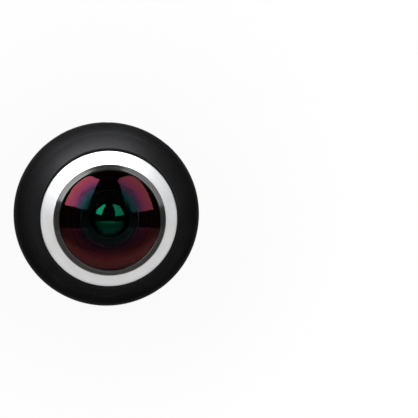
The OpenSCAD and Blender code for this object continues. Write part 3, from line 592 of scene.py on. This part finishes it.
def dark_bezel():
    """Bezel round the glass: an outline with eased edges, turned about the lens axis. Its face falls
    outwards from the lip at an even slope, with a shallow channel in it, and its bore is inked black."""
    lip = Vector((BEZEL_IN_R + LIP_W, BEZEL_TOP))
    foot = Vector((BEZEL_R, lip.y - math.tan(BEZEL_SLOPE) * (BEZEL_R - lip.x)))
    low = foot.lerp(lip, CHANNEL_START)
    high = foot.lerp(lip, CHANNEL_END)
    corners = [
        (SKIRT_IN_R, BEZEL_FOOT),
        (BEZEL_R, BEZEL_FOOT),
        (foot.x, foot.y),
        (low.x, low.y),
        (low.x - CHANNEL_LEAN, low.y - CHANNEL_DEPTH),
        (high.x, high.y - CHANNEL_DEPTH),
        (high.x - CHANNEL_LEAN, high.y),
        (lip.x, lip.y),
        (BEZEL_IN_R, BEZEL_TOP - LIP_DROP),
        (BEZEL_IN_R, FLANGE_Z + FLANGE_T),
        (SKIRT_IN_R, FLANGE_Z + FLANGE_T),
    ]
    cuts = np.array([0.05, 0.05, 0.1, 0.02, 0.01, 0.02, 0.02, 0.06, 0.05, 0.05, 0.05]) * MM
    piece = turned("dark_bezel", eased(corners, cuts), "bezel_grey")
    piece.data.materials.append(FINISH["edge_ink"])
    reach = np.linalg.norm(face_middles(piece)[:, :2], axis=1)
    number_faces(piece, reach < BEZEL_IN_R + INKED_LIP)
    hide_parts("lens_bezel")


def on_sphere(middles, height, radius):
    """Whether each point lies on the sphere of that radius about the lens axis at that height."""
    return abs(np.linalg.norm(middles - (0, 0, height), axis=1) - radius) < SPHERE_SLACK


def finish_faces(lens, front, back):
    """Gives a lens its coating in front, a quiet coating on the hollow side, and black ink on its edge and
    flange: a face belongs to a side when its middle lies on that side's sphere, given by its height and
    its radius."""
    lens.data.materials.append(FINISH["quiet_glass"])
    lens.data.materials.append(FINISH["edge_ink"])
    middles = face_middles(lens)
    hollow_or_edge = np.where(on_sphere(middles, *back), 1, 2)
    number_faces(lens, np.where(on_sphere(middles, *front), 0, hollow_or_edge))


def front_dome():
    """Glass dome: an arc of the outer sphere, a ground edge, the flange, and an arc of the hollow sphere,
    turned about the lens axis."""
    outer_z = APEX_Z - DOME_CURVE_R
    hollow_z = APEX_Z - DOME_T - HOLLOW_CURVE_R
    rim_angle = math.degrees(math.acos((DOME_EDGE_R - GROUND_EDGE) / DOME_CURVE_R))
    edge_z = outer_z + math.sqrt(DOME_CURVE_R**2 - DOME_EDGE_R**2)
    foot_angle = math.degrees(math.asin((FLANGE_Z - hollow_z) / HOLLOW_CURVE_R))
    profile = np.vstack([
        arc((0, outer_z), DOME_CURVE_R, 90, rim_angle, DOME_STEPS),
        [(DOME_EDGE_R, edge_z - GROUND_DROP)],
        [(DOME_EDGE_R, FLANGE_Z + FLANGE_T)],
        [(GLASS_R, FLANGE_Z + FLANGE_T), (GLASS_R, FLANGE_Z)],
        arc((0, hollow_z), HOLLOW_CURVE_R, foot_angle, 90, HOLLOW_STEPS),
    ])
    profile[[0, -1], 0] = 0
    piece = turned("front_dome", profile, "dome_glass", closed=False, sharp=12)
    finish_faces(piece, (outer_z, DOME_CURVE_R), (hollow_z, HOLLOW_CURVE_R))
    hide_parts("front_lens")


def inner_element():
    """Second lens: an arc of its front sphere, a stepped edge, the flange, and an arc of its hollow back,
    turned about the lens axis."""
    low = SECOND_BOX[0].z
    front_z = SECOND_BOX[1].z - SECOND_CURVE_R
    hollow_z = low - math.sqrt(SECOND_HOLLOW_R**2 - SECOND_EYE_R**2)
    edge_angle = math.degrees(math.acos(SECOND_LENS_R / SECOND_CURVE_R))
    eye_angle = math.degrees(math.acos(SECOND_EYE_R / SECOND_HOLLOW_R))
    profile = np.vstack([
        arc((0, front_z), SECOND_CURVE_R, 90, edge_angle, SECOND_STEPS),
        [(SECOND_LENS_R, low + SECOND_FLANGE_T), (SECOND_FLANGE_R, low + SECOND_FLANGE_T)],
        [(SECOND_FLANGE_R, low)],
        arc((0, hollow_z), SECOND_HOLLOW_R, eye_angle, 90, SECOND_HOLLOW_STEPS),
    ])
    profile[[0, -1], 0] = 0
    piece = turned("inner_element", profile, "inner_glass", closed=False)
    finish_faces(piece, (front_z, SECOND_CURVE_R), (hollow_z, SECOND_HOLLOW_R))
    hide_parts("second_lens")


def ribbed_foot():
    """Rubber ring under the base: a flat ring, turned about the axis, whose underside carries fine ribs
    that follow a cosine of the radius."""
    low = PAD_BOX[0].z
    high = PAD_BOX[1].z
    outer = PAD_BOX[1].x
    r = np.linspace(PAD_IN_R + PAD_MARGIN, outer - PAD_MARGIN, PAD_STEPS)
    wave = 0.5 - 0.5 * np.cos(FULL_TURN * (r - r[0]) / (r[-1] - r[0]) * RIBS)
    ribs = np.stack([r, low + RIB_H * (1 - wave)], -1)
    top = [(outer, low + PAD_EDGE), (outer, high), (PAD_IN_R, high), (PAD_IN_R, low + PAD_EDGE)]
    piece = turned("ribbed_foot", np.vstack([ribs, top]), "seal_rubber", sharp=50)
    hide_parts("foot_pad")


def tripod_thread():
    """Thread ridge: a flat-topped triangle carried along a helix just inside the bore, sinking away over
    half a turn at both ends."""
    turns = (THREAD_LEN - THREAD_ENDS * THREAD_PITCH) / THREAD_PITCH
    a = np.linspace(0, FULL_TURN * turns, int(THREAD_STEPS * turns))
    t = a / a[-1]
    fade = np.clip(np.minimum(t, 1 - t) * turns * 2, THREAD_LEAST, 1)
    root = THREAD_R + THREAD_BITE
    crest = root + (THREAD_CREST_R - root) * fade
    middle = NUT_BOX[0].z + THREAD_START * THREAD_PITCH + THREAD_PITCH * a / FULL_TURN
    r = np.stack([root + 0 * a, crest, crest, root + 0 * a], -1)
    z = middle[:, None] + THREAD_PITCH * THREAD_PROFILE
    sections = np.stack([r * np.cos(a)[:, None], r * np.sin(a)[:, None], z], -1)
    swept("tripod_thread", sections, "camera", FINISH["nut_brass"], sharp=25)


def socket_tongue():
    """Moulded black sleeve on the socket's tongue, and the spring contacts on it. The sleeve is an outline
    with eased corners carried inwards and drawn in at its front end. A contact is a flat strip carried
    inwards that rises in a low hump, a squared sine of its run, and narrows at its front end."""
    low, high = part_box("usb_socket")
    middle = (low.z + high.z) / 2
    front = high.y - TONGUE_BACK
    half_w = TONGUE_W / 2 + SLEEVE_T
    half_h = TONGUE_H / 2 + SLEEVE_T
    corners = [(-half_w, -half_h), (half_w, -half_h), (half_w, half_h), (-half_w, half_h)]
    outline = eased(corners, [TONGUE_EASE] * 4)
    y = front + np.array([SLEEVE_T, -SLEEVE_TAPER, -0.5 * TONGUE_LEN, -TONGUE_LEN])
    size = np.array([SLEEVE_TIP, 1, 1, 1])[:, None]
    x = size * outline[None, :, 0]
    z = middle + size * outline[None, :, 1]
    sections = np.stack([x, y[:, None] + 0 * x, z], -1)
    swept("socket_tongue", sections, "camera", FINISH["chip_black"])
    top = middle + half_h
    t = np.linspace(0, 1, CONTACT_STEPS)
    rise = CONTACT_T + CONTACT_HUMP * np.sin(math.pi * t) ** 2
    half = CONTACT_W / 2 * (CONTACT_TIP + CONTACT_SPREAD * np.clip(t / CONTACT_TAPER, 0, 1))
    y = front - CONTACT_BACK - CONTACT_LEN * t
    above = CONTACT_LEVELS * rise[:, None]
    z = top + np.where(CONTACT_LEVELS > 0, above, CONTACT_LEVELS * CONTACT_T)
    for number in range(CONTACTS):
        x = (number - (CONTACTS - 1) / 2) * CONTACT_PITCH + half[:, None] * CONTACT_SIDES
        sections = np.stack([x, y[:, None] + 0 * x, z], -1)
        swept(f"socket_contact_{number}", sections, "camera", CONTACT_GOLD)


def printed_stroke(name, body, joint, u, v):
    """Printed line on a key: its middle line in u across and v up is given a width, rounded ends and a
    thin lift, and each point is put on the key's sphere along the key's own outward direction."""
    outward = -np.array(JOINTS[joint]["axis"], float)
    across = np.cross(-outward, (0, 0, 1))
    path = np.stack([u, v], -1)
    slope = np.gradient(path, axis=0)
    slope /= np.linalg.norm(slope, axis=1, keepdims=True)
    side = np.stack([-slope[:, 1], slope[:, 0]], -1)
    run = np.concatenate([[0], np.cumsum(np.linalg.norm(np.diff(path, axis=0), axis=1))])
    reach = np.minimum(run, run[-1] - run) / (PRINT_STROKE / 2)
    half = PRINT_STROKE / 2 * np.sqrt(1 - np.clip(1 - reach, 0, PRINT_END) ** 2)
    spread = np.array([-1, -PRINT_SHOULDER, PRINT_SHOULDER, 1])[None, :, None]
    place = path[:, None] + side[:, None] * half[:, None, None] * spread
    lift = np.array([-1, 1, 1, -1]) * PRINT_LIFT
    height = SEAM_Z - PANEL_Z + place[..., 1]
    depth = np.sqrt((BALL_R + lift) ** 2 - place[..., 0] ** 2 - height**2)
    points = outward * depth[..., None] + across * place[..., :1]
    points[..., 2] += SEAM_Z + place[..., 1]
    swept(name, points, body, PRINT_GREY)


def key_signs():
    """Power sign lying on its side, a broken ring with a bar through the gap, and a menu sign of three
    bars."""
    a = np.radians(np.linspace(180 + POWER_GAP, 540 - POWER_GAP, RING_SIGN_STEPS))
    u = POWER_RING_R * np.cos(a)
    v = POWER_RING_R * np.sin(a)
    printed_stroke("power_sign_ring", "power_key", "power_press", u, v)
    u = np.linspace(POWER_BAR_START, POWER_BAR_END, BAR_SIGN_STEPS)
    printed_stroke("power_sign_bar", "power_key", "power_press", u, 0 * u)
    u = np.linspace(-MENU_BAR / 2, MENU_BAR / 2, BAR_SIGN_STEPS)
    for number, row in enumerate((-1, 0, 1)):
        printed_stroke(f"menu_sign_bar_{number}", "mode_key", "mode_press", u, 0 * u + row * MENU_PITCH)


def view_camera():
    """Camera at the photograph's angle, turned so that the ball's middle falls on its pixel of the
    picture."""
    az = VIEW_AZIMUTH
    el = VIEW_ELEVATION
    away = Vector((math.sin(az) * math.cos(el), -math.cos(az) * math.cos(el), math.sin(el)))
    up = Vector((0, -1, 0))
    up = (up - away * up.dot(away)).normalized()
    basis = Matrix((up.cross(away), up, away)).transposed()
    focal = LENS_MM / SENSOR_MM * FRAME_PX
    middle = FRAME_PX / 2
    aim = Vector(((BALL_PX[0] - middle) / focal, (middle - BALL_PX[1]) / focal, -1)).normalized()
    turn = aim.rotation_difference(Vector((0, 0, -1))).to_matrix()
    data = bpy.data.cameras.new("view_camera")
    data.lens = LENS_MM
    data.sensor_width = SENSOR_MM
    data.clip_start = VIEW_CLIP
    camera = bpy.data.objects.new("view_camera", data)
    camera.matrix_world = Matrix.Translation(BALL_CENTRE + away * VIEW_DISTANCE) @ (basis @ turn).to_4x4()
    bpy.context.scene.collection.objects.link(camera)
    bpy.context.scene.camera = camera


def softbox(name, corners, radiance, levels=(), shape="RECTANGLE", lights_matte=True):
    """Lamp through four corners, given in metres from the top of the lens, shining towards the lens: the
    whole rectangle or the ellipse in it. Levels, if given, are the tones of its light from its last side,
    at 0, to its first, at 1. A lamp that doesn't light matte surfaces only shows in gloss and glass."""
    corner = np.array(corners) + (0, 0, APEX_Z)
    middle = corner.mean(0)
    along = Vector(corner[[0, 1]].mean(0) - corner[[2, 3]].mean(0))
    across = Vector(corner[[1, 2]].mean(0) - corner[[0, 3]].mean(0))
    back = across.cross(along).normalized()
    if back.dot(Vector(middle)) < 0:
        back = -back
    lamp = bpy.data.lights.new(name, "AREA")
    lamp.shape = shape
    lamp.size = across.length
    lamp.size_y = along.length
    filled = math.pi / 4 if shape == "ELLIPSE" else 1
    lamp.energy = radiance * math.pi * filled * lamp.size * lamp.size_y
    if levels:
        lamp.use_nodes = True
        spot = node_of(lamp, "ShaderNodeNewGeometry")
        split = node_of(lamp, "ShaderNodeSeparateXYZ")
        join(lamp, spot.outputs["Parametric"], split.inputs["Vector"])
        colour = tones(lamp, split.outputs["Y"], *levels)
        join(lamp, colour, lamp.node_tree.nodes["Emission"].inputs["Color"])
    holder = bpy.data.objects.new(name, lamp)
    turn = Matrix((along.cross(back).normalized(), along.normalized(), back)).transposed()
    holder.matrix_world = Matrix.Translation(Vector(middle)) @ turn.to_4x4()
    holder.visible_camera = False
    holder.visible_diffuse = lights_matte
    bpy.context.scene.collection.objects.link(holder)


def studio_lamps():
    """Two tall softboxes over the lens, a graded disc at the rear, and a card at the key side."""
    softbox("left_softbox", LEFT_CORNERS, LEFT_LIGHT)
    softbox("right_softbox", RIGHT_CORNERS, RIGHT_LIGHT)
    softbox("rear_disc", DISC_CORNERS, DISC_LIGHT, DISC_LEVELS, "ELLIPSE")
    softbox("key_side_card", CARD_CORNERS, CARD_LIGHT, lights_matte=False)


def studio_world():
    """World that is white to the camera, and to all else a dark room with a pale horizon, with its tones
    laid along the height of a direction."""
    world = bpy.data.worlds.new("studio_world")
    world.use_nodes = True
    bpy.context.scene.world = world
    ground = world.node_tree.nodes["Background"]
    path = node_of(world, "ShaderNodeLightPath")
    place = node_of(world, "ShaderNodeTexCoord")
    height = node_of(world, "ShaderNodeSeparateXYZ")
    join(world, place.outputs["Generated"], height.inputs["Vector"])
    level = tones(world, span(world, height.outputs["Z"], 0, 1, -1, 1), *WORLD_LEVELS)
    pick = node_of(world, "ShaderNodeMix", data_type="RGBA")
    pick.inputs[MIX_SECOND].default_value = WHITE
    join(world, path.outputs["Is Camera Ray"], pick.inputs["Factor"])
    join(world, level, pick.inputs[MIX_FIRST])
    join(world, pick.outputs[MIX_RESULT], ground.inputs["Color"])


def paper_white():
    """Paper that shows plain white to the camera, to gloss and to glass, and takes light as a pale sheet for
    all else. Near the object a share of the sheet shows, with the shadow on it, and the share of white grows
    in a straight line with the distance from the axis. The smaller share near the object also greys the floor
    there, shadowed or not: a painted shade round the object."""
    paper = bpy.data.materials.new("paper_white")
    paper.use_nodes = True
    shader = shader_of(paper)
    shader.inputs["Roughness"].default_value = FLOOR_ROUGH
    shader.inputs["Base Color"].default_value = FLOOR_TONE
    light = node_of(paper, "ShaderNodeEmission")
    seen = node_of(paper, "ShaderNodeMath", operation="MAXIMUM")
    either = node_of(paper, "ShaderNodeMath", operation="MAXIMUM")
    share = node_of(paper, "ShaderNodeMath", operation="MULTIPLY")
    spot = node_of(paper, "ShaderNodeTexCoord")
    away = node_of(paper, "ShaderNodeVectorMath", operation="LENGTH")
    join(paper, spot.outputs["Object"], away.inputs[0])
    # The share of white falls towards the axis: painted shade round the object, on top of the real shadow in the
    # sheet
    white = span(paper, away.outputs["Value"], NEAR_WHITE, FAR_WHITE, NEAR_R, FAR_R)
    join(paper, white, share.inputs[1])
    route = node_of(paper, "ShaderNodeLightPath")
    mix = node_of(paper, "ShaderNodeMixShader")
    join(paper, route.outputs["Is Camera Ray"], seen.inputs[0])
    join(paper, route.outputs["Is Glossy Ray"], seen.inputs[1])
    join(paper, seen.outputs["Value"], either.inputs[0])
    join(paper, route.outputs["Is Transmission Ray"], either.inputs[1])
    join(paper, either.outputs["Value"], share.inputs[0])
    join(paper, share.outputs["Value"], mix.inputs["Fac"])
    join(paper, shader.outputs["BSDF"], mix.inputs[1])
    join(paper, light.outputs["Emission"], mix.inputs[2])
    join(paper, mix.outputs["Shader"], paper.node_tree.nodes["Material Output"].inputs["Surface"])
    return paper


def studio_floor():
    """Round floor under the base: a point at radius r and angle a lies at (r cos a, r sin a)."""
    a = np.linspace(0, FULL_TURN, FLOOR_SPOKES, endpoint=False)[None, :]
    x = FLOOR_RADII * np.cos(a)
    y = FLOOR_RADII * np.sin(a)
    points = np.stack([x, y, 0 * x - FLOOR_DROP], -1)
    mesh = bpy.data.meshes.new("studio_floor")
    faces = grid_faces(len(FLOOR_RADII), FLOOR_SPOKES, wrap_columns=True)
    mesh.from_pydata(points.reshape(-1, 3).tolist(), [], faces)
    floor = bpy.data.objects.new("studio_floor", mesh)
    bpy.context.scene.collection.objects.link(floor)
    mesh.materials.append(paper_white())


bright_ring()
dark_bezel()
front_dome()
inner_element()
ribbed_foot()
tripod_thread()
socket_tongue()
key_signs()
view_camera()
studio_lamps()
studio_world()
studio_floor()
bpy.context.scene.view_settings.view_transform = "Standard"
